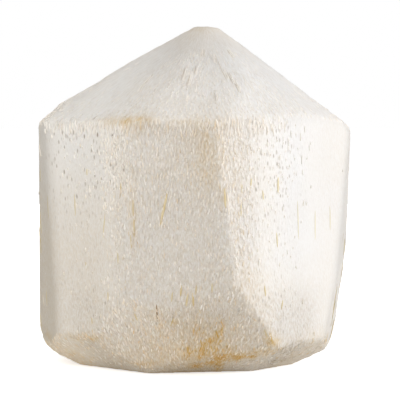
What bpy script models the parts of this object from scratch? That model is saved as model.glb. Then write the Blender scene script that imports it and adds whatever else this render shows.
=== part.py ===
"""A young coconut as it is sold for drinking: the green skin is cut away with a big knife,
which leaves one solid block of pale husk with flat flanks, a pointed crown and a bevelled foot.

The block is carved here the same way. A round blank is cut by one plane for each knife
stroke, every sharp edge is dulled by lighter strokes, and the faces then get the slight
unevenness that a hand-held blade leaves. Lengths in the tables are millimetres."""
import math

import bmesh
import bpy
from mathutils import Vector, noise

MM = 0.001

HEIGHT = 126.4            # foot to the flat tip
BLANK_RADIUS = 75.0       # the blank before any stroke
WAIST = 55.0              # height at which the reach of a flank is given
TIP_OFFSET = 3.5          # the crown's point sits this far to the right of the axis

# Flanks: direction (0 faces the viewer, + turns to the right), reach from the axis
# at the waist, lean in degrees (+ widens upward).
FLANKS = {
    "front": (-0.3, 58.7, 3.9),
    "front right": (33.9, 55.4, -1.2),
    "right": (49.5, 53.9, -1.2),
    "far right": (76.9, 57.3, 3.6),
    "far right, low": (80.3, 59.1, 9.5),
    "right, low": (44.9, 57.1, 4.3),
    "back right": (106.7, 56.0, -2.7),
    "back, right of middle": (145.0, 55.5, 2.5),
    "back": (182.0, 57.0, 2.0),
    "back, left of middle": (218.0, 55.0, 2.0),
    "back left": (252.3, 54.1, -5.2),
    "far left": (287.2, 58.5, 2.9),
    "front left": (317.3, 57.9, 2.6),
}

# Foot bevels: direction, reach from the axis at the ground, slope in degrees from vertical.
FOOT = {
    "foot, front left": (-39.7, 39.2, 50.3),
    "foot, far left": (-75.5, 50.3, 38.5),
    "foot, far left, under": (-82.8, 44.1, 63.2),
    "foot, left of front": (-16.7, 42.0, 32.3),
    "foot, right of front": (5.2, 45.4, 21.4),
    "foot, right of front, under": (8.8, 34.3, 59.3),
    "foot, right": (48.6, 37.0, 57.8),
    "foot, far right": (80.0, 46.0, 40.0),
    "foot, far right, under": (87.2, 37.6, 66.0),
    "foot, back right": (115.0, 44.1, 41.7),
    "foot, back, right of middle": (150.0, 42.0, 45.0),
    "foot, back": (190.0, 44.0, 45.0),
    "foot, back, left of middle": (230.0, 42.0, 42.0),
    "foot, back left": (249.8, 45.5, 38.5),
}

# Crown: direction, height at which the stroke would meet the tip's upright, slope in degrees.
CROWN = {
    "crown, front": (4.0, 129.0, 32.1),
    "crown, right of front": (33.9, 139.5, 42.2),
    "crown, right": (54.0, 131.4, 37.8),
    "crown, back right": (96.0, 130.3, 38.6),
    "crown, back, right of middle": (140.0, 129.5, 35.0),
    "crown, back": (180.0, 129.5, 33.0),
    "crown, back, left of middle": (222.0, 129.5, 33.0),
    "crown, back left": (262.4, 128.1, 30.0),
    "crown, far left": (282.3, 131.1, 33.0),
    "crown, far left, low": (276.2, 136.3, 35.9),
    "crown, front left": (317.6, 129.5, 32.2),
}

EDGE_RADIUS = 2.6         # how far the edges are dulled
CROWN_RADIUS = 9.0        # the crown's strokes run more softly into each other
FRONT_RADIUS = 30.0       # the softest are the ones at its front
SHOULDER_RADIUS = 5.0     # and the right shoulder under them
TIP_RADIUS = 5.0          # and so does the flat tip into the crown
FOOT_RADIUS = 2.8         # a foot bevel into its flank
SOLE_RADIUS = 5.0         # the foot bevels into each other and into the resting face
BROAD_RADIUS = 50.0       # the two right flanks run into each other
LEFT_RADIUS = 18.0        # the far left flank is hardly cut and stays round at its edges
RIGHT_RADIUS = 12.0       # and so, less, does the far right one
EDGE_STROKES = 2          # planes that round one edge
BROAD_STROKES = 4         # and a broad one
LEAST_TURN = 5.0          # edges that turn less than this, in degrees, stay as they are

SECTORS = 72              # upright slices of the net that carries the relief
FLANK_STEP = 5.6          # height of one row of the net on the flanks
CROWN_STEP = 3.6          # height of one row of the net on the crown
SHOULDER = 88.0           # where the rows change from one to the other

WAVE_HEIGHT = 0.35        # unevenness of the knife faces
WAVE_LENGTH = 38.0        # and its length along the face
STEPS = (                 # where a crown stroke stopped: height, depth left, half width in degrees
    (107.4, 0.40, 20.0),
    (96.3, 0.50, 18.0),
)
STEP_DIRECTION = 276.0    # the direction those two steps face
STEP_RUN = 1.3            # drop in height over which a step falls away
STEP_REACH = 11.0         # rise in height over which the proud husk fades out above it


def facing(degrees):
    """Unit vector along the ground in a direction: 0 is -Y, + turns toward +X."""
    turn = math.radians(degrees)
    return Vector((math.sin(turn), -math.cos(turn), 0.0))


def strokes():
    """Every knife stroke as a plane: outward unit normal, distance from the origin in metres."""
    planes = []
    for table, datum in ((FLANKS, WAIST), (FOOT, 0.0)):
        for direction, reach, lean in table.values():
            grow = math.tan(math.radians(lean))
            normal = facing(direction) - Vector((0.0, 0.0, grow))
            planes.append((normal, reach - datum * grow))
    tip = Vector((TIP_OFFSET, 0.0, 0.0))
    for direction, height, slope in CROWN.values():
        normal = facing(direction) * math.tan(math.radians(slope)) + Vector((0.0, 0.0, 1.0))
        planes.append((normal, height + normal.dot(tip)))
    planes.append((Vector((0.0, 0.0, 1.0)), HEIGHT))
    planes.append((Vector((0.0, 0.0, -1.0)), 0.0))
    return [(n / n.length, reach * MM / n.length) for n, reach in planes]


def blank():
    """A round block, larger than the coconut on every side."""
    body = bmesh.new()
    radius, tall = BLANK_RADIUS * MM, 1.6 * HEIGHT * MM
    bmesh.ops.create_cone(body, cap_ends=True, cap_tris=False, segments=48,
                          radius1=radius, radius2=radius, depth=tall)
    bmesh.ops.translate(body, verts=body.verts, vec=(0.0, 0.0, 0.5 * HEIGHT * MM))
    return body


def cut(body, normal, reach):
    """Takes off everything beyond one plane and closes the face that the cut leaves."""
    found = bmesh.ops.bisect_plane(body, geom=body.verts[:] + body.edges[:] + body.faces[:],
                                   dist=1e-7, plane_co=normal * reach, plane_no=normal,
                                   clear_outer=True)
    rim = [part for part in found["geom_cut"] if isinstance(part, bmesh.types.BMEdge)
           and len(part.link_faces) == 1]
    if len(rim) > 2:
        bmesh.ops.contextual_create(body, geom=rim)


def carve(planes):
    """The blank after all the strokes of a list."""
    body = blank()
    for normal, reach in planes:
        cut(body, normal, reach)
    return body


def softness(one, other, planes):
    """Radius in metres and number of strokes that dull the edge between two faces,
    each given by its normal."""
    names = list(FLANKS) + list(FOOT) + list(CROWN) + ["tip", "base"]
    pair = {names[min(range(len(planes)), key=lambda k: (planes[k][0] - normal).length)]
            for normal in (one, other)}
    if pair == {"front right", "right"}:
        return BROAD_RADIUS * MM, BROAD_STROKES
    if pair in ({"front left", "far left"}, {"far left", "back left"}):
        return LEFT_RADIUS * MM, BROAD_STROKES
    if pair <= {"right", "right, low", "far right", "far right, low", "back right"}:
        return RIGHT_RADIUS * MM, BROAD_STROKES
    if "tip" in pair:
        return TIP_RADIUS * MM, EDGE_STROKES
    if pair <= {"crown, front left", "crown, front", "crown, right of front", "crown, right"}:
        return FRONT_RADIUS * MM, BROAD_STROKES
    if pair & {"crown, right of front", "crown, right"} and pair & {"front right", "right"}:
        return SHOULDER_RADIUS * MM, BROAD_STROKES
    if pair <= set(CROWN):
        return CROWN_RADIUS * MM, EDGE_STROKES
    if pair <= set(FOOT) | {"base"}:
        return SOLE_RADIUS * MM, EDGE_STROKES
    if pair & set(FOOT):
        return FOOT_RADIUS * MM, EDGE_STROKES
    return EDGE_RADIUS * MM, EDGE_STROKES


def dulling(planes):
    """The light strokes that round the edges: planes that touch a roller run along each edge."""
    sharp = carve(planes)
    light = []
    for edge in sharp.edges:
        if len(edge.link_faces) != 2:
            continue
        one, other = (face.normal.copy() for face in edge.link_faces)
        if one.angle(other) < math.radians(LEAST_TURN):
            continue
        radius, count = softness(one, other, planes)
        # The roller's centre line lies one radius inside both faces.
        middle = (edge.verts[0].co + edge.verts[1].co) / 2.0
        inward = (one + other) * (radius / (1.0 + one.dot(other)))
        for k in range(count):
            normal = one.slerp(other, (k + 1) / (count + 1))
            light.append((normal, normal.dot(middle - inward) + radius))
    sharp.free()
    return light


def net(body):
    """Slices the sides into an even net, so that relief can be pressed into them."""
    def slice_at(point, normal):
        sides = [face for face in body.faces if abs(face.normal.z) < 0.999]
        verts = {vert for face in sides for vert in face.verts}
        edges = {edge for face in sides for edge in face.edges}
        bmesh.ops.bisect_plane(body, geom=[*verts, *edges, *sides], dist=2e-5,
                               plane_co=point, plane_no=normal)

    height = FLANK_STEP
    while height < HEIGHT - 1.0:
        slice_at(Vector((0.0, 0.0, height * MM)), Vector((0.0, 0.0, 1.0)))
        height += FLANK_STEP if height < SHOULDER else CROWN_STEP
    for k in range(SECTORS // 2):
        slice_at(Vector((0.0, 0.0, 0.0)), facing(360.0 * k / SECTORS))


def turned_from_steps(point):
    """Angle in degrees, seen from above, between a point and the direction of the steps."""
    flat = Vector((point.x, point.y, 0.0))
    return math.degrees(facing(STEP_DIRECTION).angle(flat)) if flat.length > 1e-6 else 180.0


def fine_rows(body):
    """Extra rows across the far left of the crown, where the two knife steps lie."""
    for height, _, width in STEPS:
        for level in (height, height - STEP_RUN):
            near = [face for face in body.faces if 0.5 < face.normal.z < 0.999
                    and turned_from_steps(face.calc_center_median()) < width + 6.0]
            verts = {vert for face in near for vert in face.verts}
            edges = {edge for face in near for edge in face.edges}
            bmesh.ops.bisect_plane(body, geom=[*verts, *edges, *near], dist=2e-5,
                                   plane_co=(0.0, 0.0, level * MM), plane_no=(0.0, 0.0, 1.0))


def ramp(value, low, high):
    """Smooth step from 0 at low to 1 at high."""
    share = max(0.0, min(1.0, (value - low) / (high - low)))
    return share * share * (3.0 - 2.0 * share)


def unevenness(point):
    """Height in metres of the slight waves in the knife faces; nothing at the foot and tip."""
    place = point / (WAVE_LENGTH * MM)
    wave = noise.noise(Vector((place.x, place.y, place.z * 0.6)) + Vector((3.1, 7.7, 1.3)))
    hold = ramp(point.z, 0.5 * MM, 14.0 * MM) * ramp(HEIGHT * MM - point.z, 0.0, 6.0 * MM)
    return WAVE_HEIGHT * MM * wave * hold


def knife_steps(point):
    """Height in metres of the husk that two short crown strokes left standing proud."""
    away = turned_from_steps(point)
    proud = 0.0
    for height, depth, width in STEPS:
        above = ramp(point.z, (height - STEP_RUN) * MM, height * MM)
        fades = ramp(point.z, (height + STEP_REACH) * MM, height * MM)
        proud += depth * MM * above * fades * (1.0 - ramp(away, 0.5 * width, width))
    return proud


def press_relief(body):
    """Moves each point of the net along its normal, but leaves the resting face flat."""
    body.normal_update()
    moves = {vert: vert.normal * (unevenness(vert.co) + knife_steps(vert.co))
             for vert in body.verts if vert.co.z > 1e-6}
    for vert, move in moves.items():
        vert.co += move


def husk_material():
    """Pale, dry, matte husk."""
    material = bpy.data.materials.new("husk")
    material.use_nodes = True
    surface = material.node_tree.nodes["Principled BSDF"]
    surface.inputs["Base Color"].default_value = (0.86, 0.81, 0.73, 1.0)
    surface.inputs["Roughness"].default_value = 0.8
    material.diffuse_color = (0.86, 0.81, 0.73, 1.0)
    return material


def trimmed_coconut():
    """The whole coconut as one closed solid that rests on its flat foot."""
    planes = strokes()
    body = carve(planes + dulling(planes))
    bmesh.ops.remove_doubles(body, verts=body.verts, dist=2e-5)
    net(body)
    fine_rows(body)
    bmesh.ops.remove_doubles(body, verts=body.verts, dist=1e-4)
    bmesh.ops.recalc_face_normals(body, faces=body.faces)
    press_relief(body)
    bmesh.ops.triangulate(body, faces=body.faces, quad_method="BEAUTY", ngon_method="BEAUTY")
    bmesh.ops.recalc_face_normals(body, faces=body.faces)
    mesh = bpy.data.meshes.new("trimmed_coconut")
    body.to_mesh(mesh)
    body.free()
    mesh.materials.append(husk_material())
    thing = bpy.data.objects.new("trimmed_coconut", mesh)
    bpy.context.scene.collection.objects.link(thing)


for old in list(bpy.data.objects):
    bpy.data.objects.remove(old, do_unlink=True)
trimmed_coconut()
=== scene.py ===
import math

import bmesh
import bpy
import numpy as np
from mathutils import Matrix, Vector, noise
from mathutils.bvhtree import BVHTree


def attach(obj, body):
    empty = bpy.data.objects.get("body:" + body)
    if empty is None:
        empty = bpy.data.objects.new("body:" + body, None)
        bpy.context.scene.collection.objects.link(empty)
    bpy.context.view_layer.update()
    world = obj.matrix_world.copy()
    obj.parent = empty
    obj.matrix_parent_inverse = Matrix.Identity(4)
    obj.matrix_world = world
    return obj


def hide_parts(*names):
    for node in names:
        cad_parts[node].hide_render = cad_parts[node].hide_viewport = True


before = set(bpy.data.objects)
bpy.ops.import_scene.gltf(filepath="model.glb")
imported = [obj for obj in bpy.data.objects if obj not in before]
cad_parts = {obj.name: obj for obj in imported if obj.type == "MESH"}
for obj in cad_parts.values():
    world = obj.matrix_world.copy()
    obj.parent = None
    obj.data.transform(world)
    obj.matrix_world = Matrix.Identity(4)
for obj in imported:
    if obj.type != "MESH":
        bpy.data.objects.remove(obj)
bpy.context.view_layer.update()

# Camera.
# The photograph looks at the front from the shoulder's height, slightly downwards, with a long
# lens. It comes first because the marks on the husk are placed where the photograph shows them.
EYE = Vector((0.00228, -0.640, 0.0897))
LOOK_DOWN = 2.584              # degrees below level
FOCAL_PIXELS = 1684.0
FRAME_PIXELS = 400.0
SENSOR_WIDTH = 36.0            # millimetres


def in_scene(name, data):
    """A new object in the scene, at the origin and unturned."""
    thing = bpy.data.objects.new(name, data)
    bpy.context.scene.collection.objects.link(thing)
    return thing


lens = bpy.data.cameras.new("photo_camera")
lens.sensor_width = SENSOR_WIDTH
lens.lens = SENSOR_WIDTH * FOCAL_PIXELS / FRAME_PIXELS
lens.clip_start = 0.05
camera = in_scene("photo_camera", lens)
camera.location = EYE
camera.rotation_euler = (math.radians(90.0 - LOOK_DOWN), 0.0, 0.0)
bpy.context.scene.camera = camera


# Cut husk.
# The whole coconut is one block of pale, fibrous husk, trimmed with a heavy knife. The skin here
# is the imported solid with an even, fine mesh, so that it can take the blade's small unevenness.
# Directions are in degrees from the front, + to the right, and heights in metres.
SKIN_CELL = 0.00086            # how wide the skin's mesh is
SKIN_EASING = 3                # rounds of easing after it
BODY_RADIUS = 0.058
TIP_SIDE = 0.0035              # how far the tip stands to the right of the middle
SHOULDER = (0.088, 0.094)      # heights between which the flanks turn into the crown
RIDGE_HEIGHT = 0.00005
GRAIN_HEIGHT = 0.00005
TORN_HEIGHT = 0.00022          # how rough the edges between two slices are
FLAT_SOLE = 0.00025            # the skin below this height is pressed flat on the table


def ramp(value, low, high):
    """Smooth step from 0 at low to 1 at high, for numbers and arrays."""
    share = np.clip((np.asarray(value, float) - low) / (high - low), 0.0, 1.0)
    return share * share * (3.0 - 2.0 * share)


def between(value, start, full, fade, end):
    """Smooth step up from start to full and down again from fade to end."""
    return ramp(value, start, full) * ramp(value, end, fade)


def near(value, middle, spread):
    """Round hump: 1 at the middle, and about a third at one spread from it."""
    return np.exp(-((value - middle) / spread) ** 2)


def turned_right(rows):
    """Direction from the axis of points, or of what they face, in degrees: 0 is the front."""
    return np.degrees(np.arctan2(rows[:, 0], -rows[:, 1]))


def from_middle(points):
    """Direction and distance of points from the fibres' own axis, which leads to the tip."""
    aside = points[:, 0] - TIP_SIDE * ramp(points[:, 2], 0.088, 0.118)
    return np.arctan2(points[:, 1], aside), np.hypot(aside, points[:, 1])


def fibre_place(points):
    """Where points lie in the fibres' own frame: two lengths across them and one along them.
    The fibres run from the tip down over the crown and the flanks to the foot."""
    turn, reach = from_middle(points)
    side = 2.0 * ramp(points[:, 2], 0.040, 0.080) - 1.0
    along = points[:, 2] + 0.54 * side * (BODY_RADIUS - reach)
    return np.stack([BODY_RADIUS * np.cos(turn), BODY_RADIUS * np.sin(turn), along], axis=1)


def waves(points, sizes, seed):
    """Smooth noise from -1 to 1 at each point, with its own wavelength along each axis."""
    shift = Vector((seed * 13.7, seed * 5.3, seed * 9.1))
    return np.array([noise.noise(Vector((p[0] / sizes[0], p[1] / sizes[1], p[2] / sizes[2])) + shift)
                     for p in points])


def to_array(mesh, what="co"):
    """The vertices' places or normals as rows of numbers."""
    rows = np.empty(len(mesh.vertices) * 3)
    if what == "co":
        mesh.vertices.foreach_get("co", rows)
    else:
        mesh.vertex_normals.foreach_get("vector", rows)
    return rows.reshape(-1, 3)


def opened(mesh):
    """A mesh opened for modelling."""
    work = bmesh.new()
    work.from_mesh(mesh)
    return work


def closed(work, mesh):
    """Writes what was modelled into a mesh."""
    work.to_mesh(mesh)
    work.free()
    return mesh


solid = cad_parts["trimmed_coconut"]
husk = in_scene("cut_husk", solid.data.copy())
work = opened(husk.data)
bmesh.ops.remove_doubles(work, verts=work.verts, dist=1e-5)
closed(work, husk.data)
skin = husk.modifiers.new("even skin", "REMESH")
skin.mode = "VOXEL"
skin.voxel_size = SKIN_CELL
shaped = husk.evaluated_get(bpy.context.evaluated_depsgraph_get())
fine = bpy.data.meshes.new_from_object(shaped)
husk.modifiers.clear()
husk.data = fine
husk.data.name = "cut_husk"
work = opened(husk.data)
for _ in range(SKIN_EASING):
    bmesh.ops.smooth_vert(work, verts=work.verts, factor=0.5, use_axis_x=True, use_axis_y=True,
                          use_axis_z=True)
closed(work, husk.data)

# The blade's small unevenness: long low ridges along the fibres, a finer grain, and edges
# that are torn a little where the knife left the husk. The resting face stays flat.
places = to_array(husk.data)
outward = to_array(husk.data, "normal")
fibres = fibre_place(places)
work = opened(husk.data)
bend = np.array([max((vert.normal.angle(edge.other_vert(vert).normal, 0.0)
                      for edge in vert.link_edges), default=0.0) for vert in work.verts])
work.free()
ridges = waves(fibres, (0.0045, 0.0045, 0.030), 1)
grain = waves(fibres, (0.0022, 0.0022, 0.0070), 2) * (1.0 + 0.6 * ramp(places[:, 2], *SHOULDER))
torn = waves(places, (0.0030, 0.0030, 0.0030), 3) * ramp(bend, 0.03, 0.12)
lift = RIDGE_HEIGHT * ridges + GRAIN_HEIGHT * grain + TORN_HEIGHT * torn
places += outward * (lift * ramp(places[:, 2], 0.0002, 0.0030))[:, None]
places[:, 2] = np.where(places[:, 2] < FLAT_SOLE, 0.0, places[:, 2])
husk.data.vertices.foreach_set("co", places.ravel())
husk.data.update()
husk.data.shade_smooth()
work = opened(husk.data)
husk_tree = BVHTree.FromBMesh(work)
work.free()


def seen_at(column, row):
    """The point of the husk that the photograph shows at a pixel."""
    tilt = math.radians(LOOK_DOWN)
    ahead = Vector((0.0, math.cos(tilt), -math.sin(tilt)))
    above = Vector((0.0, math.sin(tilt), math.cos(tilt)))
    half = FRAME_PIXELS / 2.0
    ray = (ahead + Vector((1.0, 0.0, 0.0)) * ((column - half) / FOCAL_PIXELS)
           + above * ((half - row) / FOCAL_PIXELS)).normalized()
    return husk_tree.ray_cast(EYE, ray)[0]


def met_at(degrees, height):
    """The point of the husk at a direction from the axis and a height."""
    turn = math.radians(degrees)
    out = Vector((math.sin(turn), -math.cos(turn), 0.0))
    return husk_tree.ray_cast(Vector((0.0, 0.0, height)) + out * 0.2, -out)[0]


# Where cut husk has browned in the air: place in the photograph, half width and half height of
# the mark in millimetres, and strength.
BROWNED = [
    (112, 121, 8.0, 1.6, 0.22), (128, 121, 6.0, 1.8, 0.36), (141, 119, 5.0, 1.6, 0.26),
    (136, 125, 5.0, 3.0, 0.16), (204, 134, 5.5, 6.0, 0.14), (207, 150, 4.6, 9.0, 0.18),
    (212, 168, 3.6, 7.0, 0.14), (221, 196, 1.4, 4.0, 0.12), (196, 123, 9.0, 1.6, 0.14),
    (133, 214, 1.2, 9.0, 0.16), (133, 232, 1.0, 6.0, 0.16),
    (90, 338, 4.0, 1.6, 0.34), (76, 338, 6.0, 1.4, 0.16), (275, 343, 3.0, 2.2, 0.42),
    (266, 338, 3.0, 3.0, 0.18), (262, 352, 7.0, 1.4, 0.26), (235, 354, 8.0, 1.8, 0.24),
    (205, 352, 8.0, 2.6, 0.14), (215, 345, 6.0, 5.0, 0.10), (190, 352, 6.0, 4.0, 0.12),
    (221, 358, 2.4, 2.2, 0.88), (218, 364, 1.6, 1.8, 0.60), (237, 357, 3.2, 1.6, 0.62),
    (243, 357, 1.8, 1.1, 0.40), (251, 357, 1.9, 1.0, 0.62), (197, 366, 2.0, 1.2, 0.62),
    (210, 363, 1.8, 1.8, 0.45), (218, 369, 1.6, 1.4, 0.45), (200, 357, 1.0, 2.2, 0.58),
    (203, 350, 1.0, 2.6, 0.52), (206, 344, 1.4, 2.0, 0.48), (212, 341, 2.4, 1.0, 0.40),
    (218, 342, 1.8, 1.0, 0.36), (215, 351, 0.9, 3.2, 0.44), (209, 340, 1.6, 0.7, 0.40),
    (222, 331, 1.0, 2.6, 0.38), (217, 335, 1.0, 1.8, 0.36), (222, 322, 0.8, 1.6, 0.24),
    (189, 350, 1.0, 2.6, 0.36), (187, 357, 1.0, 1.6, 0.32), (175, 323, 0.9, 2.4, 0.24),
    (160, 324, 0.9, 3.4, 0.26), (196, 331, 1.2, 4.0, 0.26), (228, 349, 1.4, 3.0, 0.30),
    (143, 364, 5.0, 0.9, 0.24), (165, 318, 12.0, 7.0, 0.10), (205, 325, 12.0, 10.0, 0.12),
    (240, 335, 9.0, 9.0, 0.12), (271, 337, 1.0, 1.6, 0.34), (203, 29, 5.0, 1.6, 0.14),
    (150, 342, 10.0, 8.0, 0.08), (250, 290, 6.0, 11.0, 0.10),
]
# The same on the sides that the photograph doesn't show: direction, height in metres, and the
# same three numbers.
BROWNED_BEHIND = [
    (96.0, 0.0880, 7.0, 1.6, 0.30), (128.0, 0.0885, 6.0, 1.8, 0.24), (160.0, 0.0890, 9.0, 1.5, 0.30),
    (205.0, 0.0890, 7.0, 1.7, 0.34), (238.0, 0.0880, 6.0, 1.6, 0.24), (262.0, 0.0905, 5.0, 1.4, 0.24),
    (126.0, 0.0600, 1.4, 12.0, 0.22), (199.0, 0.0520, 1.3, 14.0, 0.24), (236.0, 0.0640, 1.2, 9.0, 0.20),
    (105.0, 0.0120, 8.0, 2.0, 0.34), (140.0, 0.0100, 6.0, 3.0, 0.40), (148.0, 0.0060, 2.2, 1.6, 0.80),
    (155.0, 0.0075, 1.6, 1.2, 0.65), (182.0, 0.0110, 8.0, 2.4, 0.30), (193.0, 0.0050, 2.4, 1.4, 0.70),
    (216.0, 0.0100, 7.0, 3.0, 0.34), (224.0, 0.0060, 1.8, 1.5, 0.80), (255.0, 0.0100, 8.0, 2.2, 0.30),
    (285.0, 0.0110, 5.0, 1.6, 0.20), (70.0, 0.0100, 5.0, 1.8, 0.24),
]
MARKS_ADD = 0.25               # how much a second mark adds on top of a stronger one
WOBBLE = 0.0009                # how far the marks' outlines wander
BARELY_BROWN = 0.12            # the faint tone of the sole and of most of the husk


def browning_at(points):
    """How brown the husk is at points, from 0 where it is fresh, with some painted shade and light in
    its faint tone.
    """
    height, turned = points[:, 2], turned_right(points)
    marks = [(seen_at(m[0], m[1]), *m[2:]) for m in BROWNED]
    marks += [(met_at(m[0], m[1]), *m[2:]) for m in BROWNED_BEHIND]
    wander = np.stack([waves(points, (0.0035,) * 3, seed) for seed in (11, 12, 13)], axis=1)
    brown = np.zeros(len(points))
    for place, wide, tall, strength in marks:
        away = points + wander * WOBBLE - np.array(place)
        turn = math.atan2(place.x, -place.y)
        across = away @ np.array((math.cos(turn), math.sin(turn), 0.0))
        through = away @ np.array((math.sin(turn), -math.cos(turn), 0.0))
        spread = (across / (wide * 1e-3)) ** 2 + (away[:, 2] / (tall * 1e-3)) ** 2
        spread += (through / (max(wide, tall, 3.0) * 1.2e-3)) ** 2
        mark = strength * np.exp(-spread)
        brown = np.maximum(brown, mark) + MARKS_ADD * np.minimum(brown, mark)
    # The foot is browner, most of all in front, and so are the sole and the low right.
    front = near(turned, -2.0, 22.0)
    brown += (1.0 - ramp(height, 0.004, 0.016 + 0.014 * front)) * (0.10 + 0.14 * front)
    brown += (1.0 - ramp(height, 0.0001, 0.0012)) * BARELY_BROWN
    brown += 0.10 * near(turned, 56.0, 16.0) * ramp(height, 0.020, 0.010)
    # A faint tone everywhere but on two slices at the upper right and the upper left. It is stronger on
    # the front under the shoulder and on the left, and weaker on the crown, apart from the tip. It is
    # partly faint browning and partly painted shade and light: the darker front and left, and the two
    # lighter slices.
    lighter_slices = np.maximum(near(turned, 42.0, 24.0) * ramp(height, 0.022, 0.050),
                          0.9 * near(turned, -46.0, 20.0) * ramp(height, 0.050, 0.085))
    tone = BARELY_BROWN * (1.0 - lighter_slices)
    tone += 0.05 * near(turned, 6.0, 18.0) * ramp(height, 0.096, 0.086)
    tone += 0.14 * between(-turned, 52.0, 68.0, 84.0, 110.0) * ramp(height, 0.105, 0.030)
    tone += 0.07 * near(turned, -44.0, 18.0) * ramp(height, 0.075, 0.045)
    tone *= 1.0 - 0.55 * ramp(height, 0.090, 0.098)
    tone += 0.10 * ramp(height, 0.112, 0.124)
    return np.clip(brown + tone, 0.0, 1.0)


# How bright each slice is painted, by the direction that it faces, on the flanks, the foot and the
# crown: painted light and shade, lighter or darker as the light falls on each slice.
FACING_SHADE = [(-180.0, 0.97), (-120.0, 0.98), (-95.0, 0.93), (-73.0, 0.87), (-58.0, 0.925),
            (-43.0, 0.955), (-28.0, 0.965), (-10.0, 0.94), (8.0, 0.935), (24.0, 1.01),
            (34.0, 1.035), (50.0, 0.962), (64.0, 0.87), (77.0, 0.77), (100.0, 0.85), (180.0, 0.97)]
FOOT_FACING_SHADE = [(-180.0, 1.0), (-90.0, 0.98), (-40.0, 1.0), (-17.0, 1.01), (5.0, 0.935),
                 (30.0, 0.94), (49.0, 0.87), (90.0, 0.93), (180.0, 1.0)]
CROWN_FACING_SHADE = [(-180.0, 1.03), (-60.0, 0.935), (-20.0, 0.91), (20.0, 0.93), (45.0, 1.01),
                  (80.0, 0.95), (180.0, 1.03)]


def painted_shade_at(points, facing):
    """How bright the husk is painted at points, near 1: painted light and shade by the way each slice
    faces, with a slight random tone.
    """
    height, faced, tipped = points[:, 2], turned_right(facing), facing[:, 2]
    flank, foot, top = (np.interp(faced, *zip(*table))
                        for table in (FACING_SHADE, FOOT_FACING_SHADE, CROWN_FACING_SHADE))
    left = near(faced, -44.0, 16.0)
    low_left = left * ramp(height, 0.040, 0.014)
    flank = flank * (1.0 + 0.06 * low_left - 0.018 * left * (1.0 - low_left))
    top = top * (1.0 - 0.05 * ramp(height, 0.114, 0.123))
    low, crown = ramp(tipped, -0.12, -0.26), ramp(tipped, 0.22, 0.42)
    drift = waves(points, (0.016, 0.016, 0.024), 31)
    return (flank * (1.0 - crown - low) + top * crown + foot * low) * (1.0 + 0.012 * drift)


def pitting_at(points):
    """How many small dents the husk shows, from 0 to 1: most at the upper front, right and left."""
    height, turned = points[:, 2], turned_right(points)
    right = between(turned, 16.0, 23.0, 30.0, 52.0)
    left = between(turned, -66.0, -50.0, -28.0, -16.0)
    behind = 0.7 * ramp(np.abs(turned), 95.0, 120.0)
    drift = waves(points, (0.011, 0.011, 0.016), 33)
    below_shoulder = ramp(height, 0.094, 0.090)
    upper = ramp(height + 0.006 * drift, 0.050, 0.074) * below_shoulder
    lower = ramp(height, 0.012, 0.024) * below_shoulder
    beside = np.maximum(np.maximum(right, 0.9 * left), behind)
    few = 0.10 * ramp(turned, 60.0, 44.0) + 0.10 * ramp(turned, 90.0, 110.0)
    foot = 0.40 * between(height, 0.004, 0.012, 0.026, 0.038) * ramp(np.abs(turned), 52.0, 40.0)
    return few + np.maximum(beside * (0.16 * lower + (0.60 + 0.32 * left) * upper), foot)


def torn_at(points):
    """How torn the husk is, from 0 for a clean slice to 1: most on the front and the foot."""
    height, turned = points[:, 2], turned_right(points)
    front = between(turned, -34.0, -20.0, 17.0, 30.0)
    beside = ramp(np.abs(turned), 62.0, 40.0)
    behind = ramp(np.abs(turned), 96.0, 120.0)
    scraped = 0.44 * ramp(turned, -60.0, -44.0) * ramp(height, 0.050, 0.070) * (turned < 0.0)
    flank = np.maximum.reduce([0.20 + 0.80 * front, 0.36 * beside, 0.60 * behind, scraped])
    combed = 0.85 * near(height, 0.0895, 0.0028) * between(turned, -66.0, -48.0, 20.0, 40.0)
    foot = ramp(height, 0.036, 0.022) * ramp(np.abs(turned), 62.0, 44.0)
    crown = ramp(height, 0.089, 0.094)
    middle = 0.34 + 0.36 * ramp(np.abs(turned - 10.0), 62.0, 30.0)
    return np.maximum((flank * (1.0 - crown) + middle * crown) * (1.0 - foot) + foot, combed)


def relief_at(points):
    """How much relief the grain has, from 0 to 1: little near the tip, where the fibres meet."""
    return (0.35 + 0.65 * torn_at(points)) * ramp(from_middle(points)[1], 0.001, 0.022)


def put(mesh, name, kind, rows):
    """Stores one value or one vector for each vertex."""
    layer = mesh.attributes.new(name, kind, "POINT")
    layer.data.foreach_set("value" if kind == "FLOAT" else "vector",
                           np.asarray(rows, float).ravel())


places = to_array(husk.data)
put(husk.data, "fibre", "FLOAT_VECTOR", fibre_place(places) * 1000.0)
put(husk.data, "browning", "FLOAT", browning_at(places))
put(husk.data, "pitting", "FLOAT", pitting_at(places))
# Painted light and shade by the way each slice faces, with a slight random tone.
put(husk.data, "painted_shade_and_tone", "FLOAT", painted_shade_at(places, outward))
put(husk.data, "torn", "FLOAT", torn_at(places))
put(husk.data, "relief", "FLOAT", relief_at(places))


def add_node(tree, kind, inputs=None, **settings):
    """A shader node with its settings, and with the value or the link of each of its inputs."""
    made = tree.nodes.new(kind)
    for name, value in settings.items():
        setattr(made, name, value)
    for name, value in (inputs or {}).items():
        if isinstance(value, bpy.types.NodeSocket):
            tree.links.new(value, made.inputs[name])
        else:
            made.inputs[name].default_value = value
    return made


def new_effect(name, inputs, outputs):
    """An empty effect for several materials, with its named sockets."""
    tree = bpy.data.node_groups.new(name, "ShaderNodeTree")
    for label, kind, value in inputs:
        socket = tree.interface.new_socket(label, in_out="INPUT", socket_type=kind)
        if value is not None:
            socket.default_value = value
    for label, kind in outputs:
        tree.interface.new_socket(label, in_out="OUTPUT", socket_type=kind)
    return tree, tree.nodes.new("NodeGroupInput"), tree.nodes.new("NodeGroupOutput")


DENTS_ACROSS, DENTS_ALONG = 2.5, 1.7   # how far apart dents are, in widths of the grain
DENT_DEPTH = 0.55                      # against the height of the streaks


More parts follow.
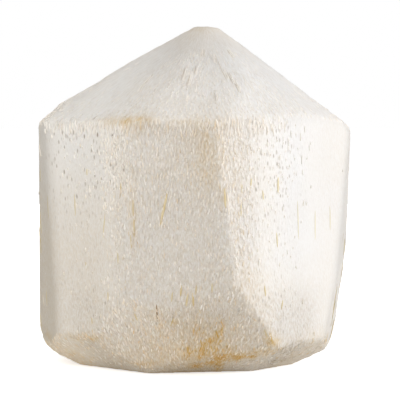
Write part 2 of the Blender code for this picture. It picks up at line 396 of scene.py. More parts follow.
def fibre_grain_effect():
    """Fine streaks along the fibres with small dents between them: a shade for the colour, a
    height for the bump and a mask of the dents."""
    tree, source, result = new_effect(
        "fibre grain",
        [("Fibre", "NodeSocketVector", None), ("Across", "NodeSocketFloat", 0.9),
         ("Along", "NodeSocketFloat", 6.0), ("Dents", "NodeSocketFloat", 1.0)],
        [("Shade", "NodeSocketFloat"), ("Height", "NodeSocketFloat"), ("Dent", "NodeSocketFloat")])
    split = add_node(tree, "ShaderNodeSeparateXYZ", {0: source.outputs["Fibre"]})

    def stretched(share_across, share_along):
        """The fibre's place in units of the grain, so that the pattern is long along it."""
        joined = add_node(tree, "ShaderNodeCombineXYZ")
        for axis, size, share in (("X", "Across", share_across), ("Y", "Across", share_across),
                                  ("Z", "Along", share_along)):
            unit = add_node(tree, "ShaderNodeMath", {0: source.outputs[size], 1: share},
                            operation="MULTIPLY")
            part = add_node(tree, "ShaderNodeMath", {0: split.outputs[axis], 1: unit.outputs[0]},
                            operation="DIVIDE")
            tree.links.new(part.outputs[0], joined.inputs[axis])
        return joined.outputs[0]

    streaks = add_node(tree, "ShaderNodeTexNoise", {
        "Vector": stretched(1.0, 1.0), "Scale": 1.0, "Detail": 3.0, "Roughness": 0.62})
    cells = add_node(tree, "ShaderNodeTexVoronoi", {
        "Vector": stretched(DENTS_ACROSS, DENTS_ALONG), "Scale": 1.0})
    inside = add_node(tree, "ShaderNodeMapRange", {
        "Value": cells.outputs["Distance"], "From Min": 0.40, "From Max": 0.18})
    chance = add_node(tree, "ShaderNodeSeparateColor", {0: cells.outputs["Color"]})
    some = add_node(tree, "ShaderNodeMapRange", {
        "Value": chance.outputs[0], "From Min": 0.25, "From Max": 1.0})
    dent = add_node(tree, "ShaderNodeMath", {0: inside.outputs[0], 1: some.outputs[0]},
                    operation="MULTIPLY")
    wanted = add_node(tree, "ShaderNodeMath", {0: dent.outputs[0], 1: source.outputs["Dents"]},
                      operation="MULTIPLY", use_clamp=True)
    height = add_node(tree, "ShaderNodeMath", {
        0: wanted.outputs[0], 1: -DENT_DEPTH, 2: streaks.outputs["Fac"]}, operation="MULTIPLY_ADD")
    shade = add_node(tree, "ShaderNodeMapRange", {
        "Value": streaks.outputs["Fac"], "From Min": 0.3, "From Max": 0.7})
    tree.links.new(shade.outputs[0], result.inputs["Shade"])
    tree.links.new(height.outputs[0], result.inputs["Height"])
    tree.links.new(wanted.outputs[0], result.inputs["Dent"])
    return tree


# What browning, streaks, patches and shade do to the colour of fresh husk, which they multiply.
BROWNING_COLOURS = [
    (0.0, (1.0, 1.0, 1.0, 1.0)), (0.12, (0.97, 0.945, 0.91, 1.0)), (0.35, (0.91, 0.83, 0.71, 1.0)),
    (0.65, (0.87, 0.69, 0.41, 1.0)), (1.0, (0.80, 0.50, 0.16, 1.0)),
]
DULL_STREAK, BRIGHT_STREAK = (0.88, 0.85, 0.81, 1.0), (1.055, 1.065, 1.08, 1.0)
WARM_PATCH, COOL_PATCH = (1.0, 0.985, 0.955, 1.0), (1.0, 1.01, 1.025, 1.0)
# Painted shade for dents, open ends, one slit and the crown's shadow lines.
HOLLOW_SHADE = (0.47, 0.40, 0.32, 1.0)
DENT_SHARE = 0.85              # how much of that shade a dent takes


def husk_colour_effect():
    """Fresh pale husk that turns tan and then orange brown as the stain grows, with painted shade: a
    little darker in dents, and dark in the open ends of the fibres, in one slit and in thin lines on
    the crown."""
    tree, source, result = new_effect(
        "husk colour",
        [("Fresh", "NodeSocketColor", (0.86, 0.81, 0.74, 1.0)), ("Stain", "NodeSocketFloat", 0.0),
         ("Shade", "NodeSocketFloat", 0.5), ("Patches", "NodeSocketFloat", 0.5),
         ("Dent", "NodeSocketFloat", 0.0), ("Painted Hollow Shade", "NodeSocketFloat", 0.0),
         ("Painted Shade And Tone", "NodeSocketFloat", 1.0), ("Torn", "NodeSocketFloat", 1.0)],
        [("Color", "NodeSocketColor")])
    given = source.outputs

    def mixed(factor, first, second, blend="MIX"):
        """One colour over another."""
        return add_node(tree, "ShaderNodeMix", {"Factor": factor, "A": first, "B": second},
                        data_type="RGBA", blend_type=blend).outputs["Result"]

    # The stain follows the fibres: some streaks take it, others hardly.
    uneven = add_node(tree, "ShaderNodeMapRange", {
        "Value": given["Shade"], "From Min": 0.2, "From Max": 0.8, "To Min": 1.3, "To Max": 0.65})
    taken = add_node(tree, "ShaderNodeMath", {0: given["Stain"], 1: uneven.outputs[0]},
                     operation="MULTIPLY", use_clamp=True)
    shades = add_node(tree, "ShaderNodeValToRGB", {"Fac": taken.outputs[0]})
    points = shades.color_ramp.elements
    points[0].color, points[1].color = BROWNING_COLOURS[0][1], BROWNING_COLOURS[-1][1]
    for place, colour in BROWNING_COLOURS[1:-1]:
        points.new(place).color = colour
    stained = mixed(1.0, given["Fresh"], shades.outputs["Color"], "MULTIPLY")
    # Slightly warmer patches, and tan streaks that are strongest where the husk is torn.
    patched = mixed(1.0, stained, mixed(given["Patches"], WARM_PATCH, COOL_PATCH), "MULTIPLY")
    streaked = mixed(given["Torn"], patched, mixed(given["Shade"], DULL_STREAK, BRIGHT_STREAK),
                     "MULTIPLY")
    # Painted light and shade: the colour is scaled by how bright each slice is painted.
    lit = add_node(tree, "ShaderNodeVectorMath", {0: streaked, "Scale": given["Painted Shade And Tone"]},
                   operation="SCALE")
    # Painted shade: dents are painted a little darker, and open ends, one slit and the crown's shadow
    # lines a lot.
    deep = add_node(tree, "ShaderNodeMath", {0: given["Dent"], 1: DENT_SHARE}, operation="MULTIPLY")
    deepest = add_node(tree, "ShaderNodeMath", {0: deep.outputs[0], 1: given["Painted Hollow Shade"]},
                       operation="MAXIMUM")
    final = mixed(deepest.outputs[0], lit.outputs[0], HOLLOW_SHADE, "MULTIPLY")
    tree.links.new(final, result.inputs["Color"])
    return tree


fibre_grain = fibre_grain_effect()
husk_colour = husk_colour_effect()


def husk_finish(name, fresh, bump, grain_across, grain_along, dents=0.0):
    """Matte, dry husk: colour from the stain, the grain and painted shade, relief from the grain."""
    material = bpy.data.materials.new(name)
    material.use_nodes = True
    tree = material.node_tree
    surface = tree.nodes["Principled BSDF"]
    surface.inputs["Specular IOR Level"].default_value = 0.25
    fibre = add_node(tree, "ShaderNodeAttribute", attribute_name="fibre")
    given = {what: add_node(tree, "ShaderNodeAttribute", attribute_name=what).outputs["Fac"]
             for what in ("browning", "painted_hollow_shade", "pitting", "painted_shade_and_tone", "torn", "relief")}
    dented = add_node(tree, "ShaderNodeMath", {0: given["pitting"], 1: dents}, operation="MULTIPLY")
    grain = add_node(tree, "ShaderNodeGroup", {
        "Fibre": fibre.outputs["Vector"], "Across": grain_across, "Along": grain_along,
        "Dents": dented.outputs[0]}, node_tree=fibre_grain)
    place = add_node(tree, "ShaderNodeTexCoord")
    patches = add_node(tree, "ShaderNodeTexNoise", {
        "Vector": place.outputs["Object"], "Scale": 60.0, "Detail": 2.0})
    colour = add_node(tree, "ShaderNodeGroup", {
        "Fresh": fresh, "Stain": given["browning"], "Painted Hollow Shade": given["painted_hollow_shade"],
        "Painted Shade And Tone": given["painted_shade_and_tone"], "Torn": given["torn"], "Shade": grain.outputs["Shade"],
        "Dent": grain.outputs["Dent"], "Patches": patches.outputs["Fac"]}, node_tree=husk_colour)
    rough = add_node(tree, "ShaderNodeMapRange", {
        "Value": grain.outputs["Shade"], "To Min": 0.9, "To Max": 0.72})
    raised = add_node(tree, "ShaderNodeBump", {
        "Height": grain.outputs["Height"], "Strength": given["relief"], "Distance": bump})
    tree.links.new(colour.outputs["Color"], surface.inputs["Base Color"])
    tree.links.new(rough.outputs[0], surface.inputs["Roughness"])
    tree.links.new(raised.outputs["Normal"], surface.inputs["Normal"])
    return material


FRESH_HUSK = (0.922, 0.895, 0.868, 1.0)
GRAIN_RELIEF = 0.00085
CROWN_TILT, CROWN_FROM = 0.36, 0.080   # how far up the crown's faces look, and its lowest height
husk.data.materials.clear()
husk.data.materials.append(
    husk_finish("pale cut husk", FRESH_HUSK, GRAIN_RELIEF, 0.50, 1.5, dents=1.0))
husk.data.materials.append(
    husk_finish("pale cut crown", FRESH_HUSK, GRAIN_RELIEF, 1.00, 3.0, dents=1.0))
for face in husk.data.polygons:
    on_top = face.normal.z > CROWN_TILT and face.center.z > CROWN_FROM
    face.material_index = 1 if on_top else 0
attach(husk, "root")
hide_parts("trimmed_coconut")


# Fibre ends on the flanks and the foot.
# The husk is full of stiff fibres that run downwards. The knife leaves the end of each one
# standing a fraction of a millimetre out of the softer husk, as a short blunt stub.
STUB_SINK = 0.5                # how deep a stub is buried, as a share of what stands out
FLANK_STUBS, FOOT_STUBS = 90000, 60000         # places tried before they are thinned out
FLANK_SPACING, FOOT_SPACING = 0.00100, 0.00090
# Fibre ends are paler than the husk: partly their own colour, partly painted highlight where they catch
# the light.
PALE_LIT_FIBRE_END = (0.975, 0.935, 0.885, 1.0)
ENDS_STAIN = 0.80              # how much of the husk's stain a fibre end takes
BRIGHTEST_PAINTED_SHADE = 1.06                  # no fibre end's painted shade is brighter than this


def blunt_stub():
    """One rounded fibre end, a unit wide and long, that stands a unit above the skin."""
    work = bmesh.new()
    bmesh.ops.create_uvsphere(work, u_segments=6, v_segments=4, radius=0.5)
    bmesh.ops.scale(work, verts=work.verts, vec=(1.0, 1.0, 1.0 + STUB_SINK))
    bmesh.ops.translate(work, verts=work.verts, vec=(0.0, 0.0, 0.5 - 0.5 * STUB_SINK))
    bmesh.ops.triangulate(work, faces=work.faces)
    return closed(work, bpy.data.meshes.new("blunt_stub"))


def skin_places(tries, seed, wanted, apart):
    """Places and outward directions spread over the husk: many where `wanted` is near 1, and
    none closer to another than `apart`."""
    chance = np.random.default_rng(seed)
    mesh = husk.data
    mesh.calc_loop_triangles()
    corners = np.empty(len(mesh.loop_triangles) * 3, int)
    mesh.loop_triangles.foreach_get("vertices", corners)
    corners = corners.reshape(-1, 3)
    points = to_array(mesh)
    upright = to_array(mesh, "normal")
    a, b, c = (points[corners[:, k]] for k in range(3))
    area = np.linalg.norm(np.cross(b - a, c - a), axis=1)
    pick = chance.choice(len(area), size=tries, p=area / area.sum())
    u, v = chance.random((2, tries))
    over = u + v > 1.0
    u, v = np.where(over, 1.0 - u, u)[:, None], np.where(over, 1.0 - v, v)[:, None]
    spots = a[pick] * (1.0 - u - v) + b[pick] * u + c[pick] * v
    out = sum(upright[corners[pick, k]] * share
              for k, share in enumerate((1.0 - u - v, u, v)))
    out /= np.linalg.norm(out, axis=1)[:, None]
    kept = np.flatnonzero(chance.random(tries) < wanted(spots, out))
    cells = {}
    chosen = []
    for k in kept:
        home = tuple(np.floor(spots[k] / apart).astype(int))
        around = [other for dx in (-1, 0, 1) for dy in (-1, 0, 1) for dz in (-1, 0, 1)
                  for other in cells.get((home[0] + dx, home[1] + dy, home[2] + dz), ())]
        if all(np.dot(spots[k] - spots[other], spots[k] - spots[other]) > apart * apart
               for other in around):
            cells.setdefault(home, []).append(k)
            chosen.append(k)
    return spots[chosen], out[chosen], chance


def along_fibres(spots, out, lean):
    """Directions on the skin: down the fibres, turned aside by `lean`, and across them."""
    turn = from_middle(spots)[0]
    ring = np.stack([-np.sin(turn), np.cos(turn), np.zeros(len(turn))], axis=1)
    down = np.cross(out, ring)
    down /= np.linalg.norm(down, axis=1)[:, None]
    across = np.cross(down, out)
    return (down * np.cos(lean)[:, None] + across * np.sin(lean)[:, None],
            across * np.cos(lean)[:, None] - down * np.sin(lean)[:, None])


def stood_on_skin(name, shape, spots, out, lean, sizes):
    """One mesh of many copies of a small shape, each scaled to its width, length and height."""
    down, across = along_fibres(spots, out, lean)
    form = to_array(shape)
    work = bmesh.new()
    for k in range(len(spots)):
        wide, tall, high = sizes[k]
        placed = (spots[k] + form[:, :1] * across[k] * wide + form[:, 1:2] * down[k] * tall
                  + form[:, 2:] * out[k] * high)
        shape.vertices.foreach_set("co", placed.ravel())
        work.from_mesh(shape)
    shape.vertices.foreach_set("co", form.ravel())
    mesh = closed(work, bpy.data.meshes.new(name))
    mesh.shade_smooth()
    return in_scene(name, mesh)


def drawn_sizes(chance, count, wide, tall, high):
    """The width, length and height of each copy, drawn between the two limits of each."""
    return np.stack([chance.uniform(*limits, count) for limits in (wide, tall, high)], axis=1)


def finish_fibres(thing, spots, out, per_piece, tint, material, mixed=0.0):
    """Gives the fibres the husk's own places, stains and painted shade, and their finish. Some are
    paler and some duller at random, by `mixed`."""
    count = len(spots)
    put(thing.data, "fibre", "FLOAT_VECTOR", fibre_place(to_array(thing.data)) * 1000.0)
    stain = np.clip(browning_at(spots) * ENDS_STAIN + tint, 0.0, 1.0)
    # Painted shade by the way each end faces, with a random tone on top.
    pale = painted_shade_at(spots, out) * np.random.default_rng(count).normal(1.0, mixed, count)
    for what, values in (("browning", stain), ("painted_shade_and_tone", np.minimum(pale, BRIGHTEST_PAINTED_SHADE)),
                         ("torn", torn_at(spots)), ("relief", relief_at(spots))):
        put(thing.data, what, "FLOAT", np.repeat(values, per_piece))
    thing.data.materials.append(material)
    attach(thing, "root")


def on_flanks(spots, out):
    """Many stubs on the front and along the shoulder, few on the cleaner slices beside it."""
    height, turned = spots[:, 2], turned_right(spots)
    drift = waves(spots, (0.012, 0.012, 0.020), 21)
    upper = ramp(height + 0.006 * drift, 0.052, 0.078)
    clean = between(np.abs(turned), 42.0, 64.0, 98.0, 122.0)
    front = between(turned, -36.0, -24.0, 15.0, 22.0)
    behind = ramp(np.abs(turned), 100.0, 125.0)
    share = (0.22 + 0.78 * upper) * (1.0 - 0.96 * clean)
    share *= 0.03 + 0.97 * np.maximum(front, 0.5 * behind)
    share = np.maximum(share, 0.75 * near(turned, 16.5, 3.5) * ramp(height, 0.030, 0.05))
    along_shoulder = ramp(height, 0.0855, 0.0885) * (1.0 - clean) * ramp(turned, 40.0, 22.0)
    share = np.maximum(share, 0.9 * along_shoulder) * np.clip(0.9 + 0.5 * drift, 0.3, 1.0)
    return share * ramp(out[:, 2], 0.42, 0.25) * ramp(out[:, 2], -0.20, -0.10)


def on_foot(spots, out):
    """Torn, dense ends on the steep foot bevels, hardly any on the flat ones."""
    share = ramp(out[:, 2], -0.16, -0.28) * (0.25 + 0.75 * ramp(out[:, 2], -0.80, -0.58))
    return share * ramp(spots[:, 2], 0.0012, 0.0035)


end_finish = husk_finish("fibre ends", PALE_LIT_FIBRE_END, 0.00012, 0.6, 2.4)
stub = blunt_stub()
stub_size = len(stub.vertices)
spots, out, chance = skin_places(FLANK_STUBS, 5, on_flanks, FLANK_SPACING)
count = len(spots)
sizes = drawn_sizes(chance, count, (0.00036, 0.00060), (0.0012, 0.0024), (0.00026, 0.00056))
sizes[:, 1] *= 1.0 + 0.8 * ramp(spots[:, 2], 0.0850, 0.0880)
flank_ends = stood_on_skin("flank_fibre_ends", stub, spots, out, chance.normal(0.0, 0.16, count),
                           sizes)
finish_fibres(flank_ends, spots, out, stub_size,
              np.maximum(chance.normal(0.0, 0.08, count), -0.1), end_finish, mixed=0.035)

spots, out, chance = skin_places(FOOT_STUBS, 6, on_foot, FOOT_SPACING)
count = len(spots)
sizes = drawn_sizes(chance, count, (0.00036, 0.00062), (0.0012, 0.0026), (0.00028, 0.00058))
sizes[:, 2] *= 1.0 - 0.60 * ramp(np.abs(turned_right(spots)), 38.0, 58.0)
foot_ends = stood_on_skin("foot_fibre_ends", stub, spots, out, chance.normal(0.0, 0.28, count),
                          sizes)
finish_fibres(foot_ends, spots, out, stub_size,
              np.maximum(chance.normal(0.0, 0.13, count), -0.2), end_finish, mixed=0.06)


# Fibre ends on the crown.
# The crown is cut across the fibres at a slant, so their ends lie long and low there and all
# point away from the tip.
CROWN_STUBS, CROWN_SPACING = 70000, 0.0013
LOW_CROWN = (0.106, 0.091)     # heights between which the crown's fibre ends grow short and thick


def on_crown(spots, out):
    """Most low on the crown, and few on its smooth far left and right."""
    height, turned = spots[:, 2], turned_right(spots)
    drift = waves(spots, (0.010, 0.010, 0.014), 22)
    clean = ramp(np.abs(turned - 14.0), 28.0, 44.0) * ramp(height, 0.089, 0.093)
    share = (0.22 + 0.78 * ramp(height, *LOW_CROWN)) * (1.0 - 0.85 * clean)
    share *= np.clip(0.85 + 0.6 * drift, 0.2, 1.0)
    return share * ramp(out[:, 2], 0.30, 0.50) * ramp(height, 0.1185, 0.114)


spots, out, chance = skin_places(CROWN_STUBS, 7, on_crown, CROWN_SPACING)
count = len(spots)
low = ramp(spots[:, 2], *LOW_CROWN)
sizes = drawn_sizes(chance, count, (0.00042, 0.00065), (0.0018, 0.0034), (0.00009, 0.00015))
sizes[:, 1] *= 1.0 - 0.35 * low
sizes[:, 2] *= 1.0 + low
crown_ends = stood_on_skin("crown_fibre_ends", stub, spots, out, chance.normal(0.0, 0.10, count),
                           sizes)
finish_fibres(crown_ends, spots, out, stub_size, chance.uniform(0.0, 0.05, count), end_finish,
              mixed=0.015)


# Open fibre ends.
# Thick fibres are hollow. Where the knife went straight across one, its end is a small oval mouth with
# a pale rim and a dark inside, which is painted shade.
MOUTHS, MOUTH_SPACING = 22000, 0.0024
RIM, LIP = 0.13, 0.05          # width of the rim and of the slope inside it, in mouth widths


def open_mouth():
    """One oval mouth, a unit wide and long, with a rim a unit above the skin and a low floor."""
    work = bmesh.new()
    bmesh.ops.create_cone(work, cap_ends=True, segments=7, radius1=0.5, radius2=0.42, depth=1.0)
    bmesh.ops.translate(work, verts=work.verts, vec=(0.0, 0.0, 0.5))
    top = [face for face in work.faces if face.calc_center_median().z > 0.99]
    bmesh.ops.inset_region(work, faces=top, thickness=RIM, depth=0.0)
    bmesh.ops.inset_region(work, faces=top, thickness=LIP, depth=-0.5)
    bmesh.ops.scale(work, verts=work.verts, vec=(1.0, 1.0, 1.0 + STUB_SINK))
    bmesh.ops.translate(work, verts=work.verts, vec=(0.0, 0.0, -STUB_SINK))
    bmesh.ops.triangulate(work, faces=work.faces)
    return closed(work, bpy.data.meshes.new("open_mouth"))


def on_open_areas(spots, out):
    """On the upper front right, the upper front left and the same places behind."""
    height, turned = spots[:, 2], turned_right(spots)
    drift = waves(spots, (0.020, 0.020, 0.030), 23)
    right = between(turned, 18.0, 25.0, 34.0, 47.0)
    left = between(turned, -54.0, -44.0, -30.0, -22.0)
    behind = ramp(np.abs(turned), 95.0, 115.0) * np.clip(0.6 + 1.2 * drift, 0.0, 1.0)
    share = np.maximum.reduce([right, 0.75 * left, 0.6 * behind])
    share *= 0.10 + 0.90 * ramp(height, 0.060, 0.074)
    return share * ramp(out[:, 2], 0.35, 0.20) * ramp(out[:, 2], -0.20, -0.10)


mouth = open_mouth()
mouth_size = len(mouth.vertices)
form = to_array(mouth)
floor_part = ((form[:, 2] < 0.6) & (np.hypot(form[:, 0], form[:, 1]) < 0.40)).astype(float)
spots, out, chance = skin_places(MOUTHS, 8, on_open_areas, MOUTH_SPACING)
count = len(spots)
sizes = drawn_sizes(chance, count, (0.00062, 0.00088), (0.0012, 0.0019), (0.00010, 0.00018))
open_ends = stood_on_skin("open_fibre_ends", mouth, spots, out, chance.normal(0.0, 0.14, count),
                          sizes)
darkness = np.repeat(chance.uniform(0.20, 0.50, count), mouth_size)
# The floor of each mouth is painted dark: painted shade inside the open end.
put(open_ends.data, "painted_hollow_shade", "FLOAT", np.tile(floor_part, count) * darkness)
finish_fibres(open_ends, spots, out, mouth_size, np.zeros(count), end_finish)


# Loose strands.
# Here and there the knife tore a whole fibre free. It lies on the husk as a thin tan or pale strand
# that tapers at both ends.
SHADOW_LINE = 0.09                 # the stain that marks the thin lines beside the crown's pale slivers, painted dark as their shadow
STRANDS = [    # place in the photograph, length, width and height in mm, lean in degrees, stain
    (164, 208, 12.5, 0.72, 0.46, 13.0, 0.44), (225, 198, 7.0, 0.60, 0.34, -4.0, 0.26),
    (228, 203, 8.5, 0.60, 0.34, -4.0, 0.02),
    (278, 185, 5.6, 0.60, 0.26, 2.0, 0.31), (277, 240, 5.4, 0.45, 0.22, -4.0, 0.25),
    (133, 208, 6.0, 0.40, 0.20, 0.0, 0.31), (134, 226, 8.0, 0.40, 0.20, 2.0, 0.29),
    (131, 242, 5.0, 0.36, 0.18, -3.0, 0.25), (298, 220, 14.0, 0.34, 0.14, -1.0, 0.14),
    (315, 225, 11.0, 0.32, 0.14, 1.0, 0.12), (330, 218, 9.0, 0.30, 0.14, 0.0, 0.12),
    (241, 208, 6.0, 0.36, 0.18, 1.0, 0.21), (242, 190, 4.0, 0.36, 0.18, 0.0, 0.17),
    (263, 195, 3.4, 0.42, 0.22, -6.0, 0.25), (251, 182, 3.0, 0.42, 0.22, 4.0, 0.24),
    (48, 207, 9.0, 0.34, 0.14, 0.0, 0.22), (75, 205, 8.0, 0.34, 0.16, 0.0, 0.26),
    (104, 226, 9.0, 0.34, 0.16, 10.0, 0.22), (121, 187, 2.6, 0.50, 0.20, 3.0, 0.43),
    (87, 172, 2.4, 0.42, 0.18, 0.0, 0.31), (146, 82, 11.4, 0.62, 0.50, 2.0, 0.02),
    (185, 74, 11.4, 0.50, 0.42, 0.0, 0.02), (214, 59, 7.0, 0.45, 0.40, 6.0, 0.04),
    (232, 54, 6.3, 0.45, 0.38, 2.0, 0.06), (197, 70, 7.4, 0.45, 0.38, 3.0, 0.04),
    (232, 78, 8.8, 0.50, 0.42, 0.0, 0.04), (196, 88, 7.0, 0.45, 0.36, 4.0, 0.03),
    (190, 80, 8.8, 0.45, 0.40, 3.0, 0.03), (202, 53, 6.3, 0.42, 0.36, 0.0, 0.05),
    (187, 98, 5.6, 0.55, 0.46, 4.0, 0.05), (217, 96, 7.4, 0.45, 0.40, 2.0, 0.03),
    (226, 74, 8.0, 0.45, 0.40, -3.0, 0.04), (238, 86, 8.0, 0.45, 0.40, 0.0, 0.05),
    # Thin dark lines beside the crown's pale slivers: painted shadow.
    (183, 74, 9.6, 0.30, 0.16, 0.0, SHADOW_LINE), (230, 54, 6.3, 0.30, 0.16, 2.0, SHADOW_LINE),
    (230, 78, 8.4, 0.32, 0.16, 0.0, SHADOW_LINE), (216, 59, 6.6, 0.30, 0.16, 6.0, SHADOW_LINE),
    (195, 70, 7.0, 0.30, 0.16, 3.0, SHADOW_LINE), (188, 81, 8.0, 0.30, 0.16, 3.0, SHADOW_LINE),
    (204, 53, 6.0, 0.28, 0.16, 0.0, SHADOW_LINE), (224, 75, 8.0, 0.30, 0.16, -3.0, SHADOW_LINE),
    (236, 86, 7.7, 0.30, 0.16, 0.0, SHADOW_LINE), (144, 83, 8.4, 0.30, 0.16, 2.0, SHADOW_LINE),
    (215, 97, 6.6, 0.30, 0.16, 2.0, SHADOW_LINE), (220, 66, 7.0, 0.28, 0.16, 0.0, SHADOW_LINE),
    (181, 291, 4.0, 0.55, 0.34, 8.0, 0.31), (187, 300, 5.0, 0.60, 0.36, 8.0, 0.34),
    (193, 300, 5.4, 0.60, 0.36, -3.0, 0.37), (212, 288, 3.4, 0.45, 0.26, 0.0, 0.16),
    (196, 290, 3.6, 0.45, 0.26, 4.0, 0.22), (172, 297, 3.6, 0.45, 0.26, 6.0, 0.21),
    (157, 313, 7.5, 0.30, 0.10, 5.0, 0.96), (172, 322, 3.4, 0.45, 0.26, 22.0, 0.31),
    (265, 291, 4.0, 0.42, 0.26, -6.0, 0.26), (282, 305, 3.6, 0.42, 0.24, 14.0, 0.19),
    (136, 317, 3.4, 0.45, 0.26, -8.0, 0.29), (222, 331, 4.0, 0.50, 0.28, 6.0, 0.37),
    (217, 334, 3.0, 0.50, 0.28, -20.0, 0.34), (202, 344, 5.0, 0.55, 0.26, -22.0, 0.46),
    (212, 349, 4.6, 0.50, 0.26, -26.0, 0.38), (188, 350, 3.6, 0.50, 0.28, -8.0, 0.35),
    (271, 338, 4.4, 0.50, 0.28, -24.0, 0.31), (266, 334, 4.0, 0.42, 0.24, -28.0, 0.19),
    (108, 296, 3.0, 0.40, 0.18, 0.0, 0.21), (92, 321, 2.4, 0.42, 0.18, 0.0, 0.26),
    (118, 258, 4.0, 0.40, 0.18, 0.0, 0.22), (86, 266, 3.0, 0.36, 0.16, 0.0, 0.19),
]
STRANDS_BEHIND = 90
WIDER, HIGHER = 1.35, 1.2      # what the widths and heights in the list are multiplied by
DRY_STRAND = (0.88, 0.82, 0.62, 1.0)
STRAND_STAIN = 0.7             # how much of its stain in the list a strand takes
TAN_FROM = 0.10                # strands with this much stain are tan, those with less pale
DARK_FROM = 0.90               # the one slit at the front's foot, painted dark as the shade inside it
SHADOW_LINE_DARKNESS = 0.34           # how dark those painted shadow lines are


def tapered_strand():
    """One strand, a unit wide, long and high, round in the middle and pointed at both ends."""
    work = bmesh.new()
    bmesh.ops.create_uvsphere(work, u_segments=6, v_segments=8, radius=0.5)
    bmesh.ops.rotate(work, verts=work.verts, matrix=Matrix.Rotation(math.radians(90.0), 3, "X"))
    bmesh.ops.scale(work, verts=work.verts, vec=(1.0, 1.0, 1.35))
    bmesh.ops.translate(work, verts=work.verts, vec=(0.0, 0.0, 0.25))
    return closed(work, bpy.data.meshes.new("tapered_strand"))


strand = tapered_strand()
strand_size = len(strand.vertices)
chance = np.random.default_rng(9)
laid = [(seen_at(m[0], m[1]), *m[2:]) for m in STRANDS]
for _ in range(STRANDS_BEHIND):
    direction, height = chance.uniform(70.0, 290.0), chance.uniform(0.008, 0.088)
    laid.append((met_at(direction, height), chance.uniform(3.0, 10.0), chance.uniform(0.32, 0.55),
                 chance.uniform(0.14, 0.28), chance.normal(0.0, 9.0), chance.uniform(0.05, 0.4)))
dry_finish = husk_finish("dry strands", DRY_STRAND, 0.0001, 0.3, 4.0)
tan_rows = [row for row in laid if row[5] >= TAN_FROM]
pale_rows = [row for row in laid if row[5] < TAN_FROM]
for name, rows, finish in (("loose_strands", tan_rows, dry_finish),
                           ("pale_slivers", pale_rows, end_finish)):
    spots = np.array([row[0] for row in rows])
    out = np.array([husk_tree.find_nearest(row[0])[1] for row in rows])
    sizes = np.array([(WIDER * row[2], row[1], HIGHER * row[3]) for row in rows]) * 0.001
    stains = np.array([row[5] for row in rows])
    torn_free = stood_on_skin(name, strand, spots, out, np.radians([row[4] for row in rows]), sizes)
    # A long strand follows the skin under it, and keeps its own height above it.
    bent = to_array(torn_free.data)
    level = np.tile(to_array(strand)[:, 2], len(spots)) * np.repeat(sizes[:, 2], strand_size)
    for k in range(len(bent)):
        place, upward, _, _ = husk_tree.find_nearest(Vector(bent[k]))
        bent[k] = np.array(place) + np.array(upward) * level[k]
    torn_free.data.vertices.foreach_set("co", bent.ravel())
    torn_free.data.update()
    darkness = 1.0 * (stains > DARK_FROM) + SHADOW_LINE_DARKNESS * (stains == SHADOW_LINE)
    put(torn_free.data, "painted_hollow_shade", "FLOAT", np.repeat(darkness, strand_size))
    finish_fibres(torn_free, spots, out, strand_size, STRAND_STAIN * stains, finish)


# Floor and light.
# A plain white table and soft white light. As in the photograph it is strong from the right and
# weaker from the left, from above and from the front. One light behind shows the back.
NEAR_TABLE, FAR_TABLE = 0.10, 0.30     # the coconut's faint shadow fades out between these radii
NEAR_GLOW = 0.62               # how bright the table is in that shadow
TABLE_SIZE, TABLE_DROP = 30.0, 0.0002
BELOW_LEVEL, ROOM_LEVEL = 0.19, 0.04   # light from the table itself, and from all round
LIT_TABLE = (0.85, 0.84, 0.81, 1.0)
STUDIO_WHITE = (1.0, 0.99, 0.97, 1.0)
LAMPS_AROUND = Vector((0.0, 0.0, 0.065))

work = bmesh.new()
bmesh.ops.create_grid(work, x_segments=1, y_segments=1, size=TABLE_SIZE)
bmesh.ops.translate(work, verts=work.verts, vec=(0.0, 0.0, -TABLE_DROP))
studio_floor = in_scene("studio_floor", closed(work, bpy.data.meshes.new("studio_floor")))
white = bpy.data.materials.new("white table")
white.use_nodes = True
tree = white.node_tree
table = tree.nodes["Principled BSDF"]
table.inputs["Base Color"].default_value = (0.9, 0.9, 0.9, 1.0)
table.inputs["Roughness"].default_value = 0.9
table.inputs["Specular IOR Level"].default_value = 0.0
table.inputs["Emission Color"].default_value = (1.0, 1.0, 1.0, 1.0)
place = add_node(tree, "ShaderNodeTexCoord")
away = add_node(tree, "ShaderNodeVectorMath", {0: place.outputs["Object"]}, operation="LENGTH")
glow = add_node(tree, "ShaderNodeMapRange", {
    "Value": away.outputs["Value"], "From Min": NEAR_TABLE, "From Max": FAR_TABLE,
    "To Min": NEAR_GLOW, "To Max": 1.0})
tree.links.new(glow.outputs[0], table.inputs["Emission Strength"])


def seen_and_felt(tree, felt, seen, result):
    """What the camera sees, and what lights the coconut, are set apart."""
    paths = add_node(tree, "ShaderNodeLightPath")
    either = add_node(tree, "ShaderNodeMixShader", {
        0: paths.outputs["Is Camera Ray"], 1: felt.outputs[0], 2: seen.outputs[0]})
    tree.links.new(either.outputs[0], tree.nodes[result].inputs["Surface"])


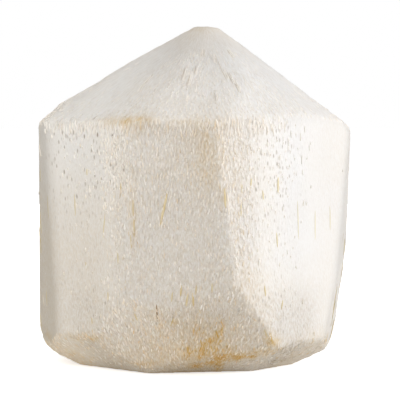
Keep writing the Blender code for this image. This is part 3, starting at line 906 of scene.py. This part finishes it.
# The coconut itself sees a white table that is lit a little from below.
diffuse = add_node(tree, "ShaderNodeBsdfDiffuse", {"Color": LIT_TABLE})
below = add_node(tree, "ShaderNodeEmission", {"Color": STUDIO_WHITE, "Strength": BELOW_LEVEL})
under = add_node(tree, "ShaderNodeAddShader", {0: diffuse.outputs[0], 1: below.outputs[0]})
seen_and_felt(tree, under, table, "Material Output")
studio_floor.data.materials.append(white)

sky = bpy.data.worlds.new("white studio")
sky.use_nodes = True
bpy.context.scene.world = sky
tree = sky.node_tree
plain = tree.nodes["Background"]
plain.inputs["Color"].default_value = STUDIO_WHITE
plain.inputs["Strength"].default_value = ROOM_LEVEL
bright = add_node(tree, "ShaderNodeBackground", {"Color": (1.0, 1.0, 1.0, 1.0), "Strength": 1.0})
seen_and_felt(tree, plain, bright, "World Output")


def soft_light(name, direction, height, distance, size, level, colour):
    """A square soft light. Its level is the brightness that it gives a white face towards it."""
    lamp = bpy.data.lights.new(name, "AREA")
    lamp.shape = "RECTANGLE"
    lamp.size, lamp.size_y = size
    lamp.energy = level * math.pi ** 2 * distance ** 2
    lamp.color = colour
    turn, rise = math.radians(direction), math.radians(height)
    out = Vector((math.sin(turn) * math.cos(rise), -math.cos(turn) * math.cos(rise),
                  math.sin(rise)))
    thing = in_scene(name, lamp)
    thing.location = LAMPS_AROUND + out * distance
    thing.rotation_euler = (-out).to_track_quat("-Z", "Y").to_euler()


soft_light("key, right", 87.0, 13.0, 0.95, (0.3, 0.3), 0.62, (0.975, 1.0, 1.045))
soft_light("fill, left", -45.0, 40.0, 0.35, (0.20, 0.20), 0.31, (1.0, 1.0, 0.95))
soft_light("fill, front", 0.0, 30.0, 0.8, (0.6, 0.4), 0.39, (1.0, 1.0, 1.02))
soft_light("fill, high front", -30.0, 70.0, 0.8, (0.6, 0.4), 0.16, (1.0, 0.995, 1.0))
soft_light("fill, back", 180.0, 12.0, 1.2, (1.0, 0.7), 0.62, (1.0, 1.0, 1.0))

bpy.context.scene.view_settings.view_transform = "Standard"
bpy.context.scene.view_settings.look = "None"
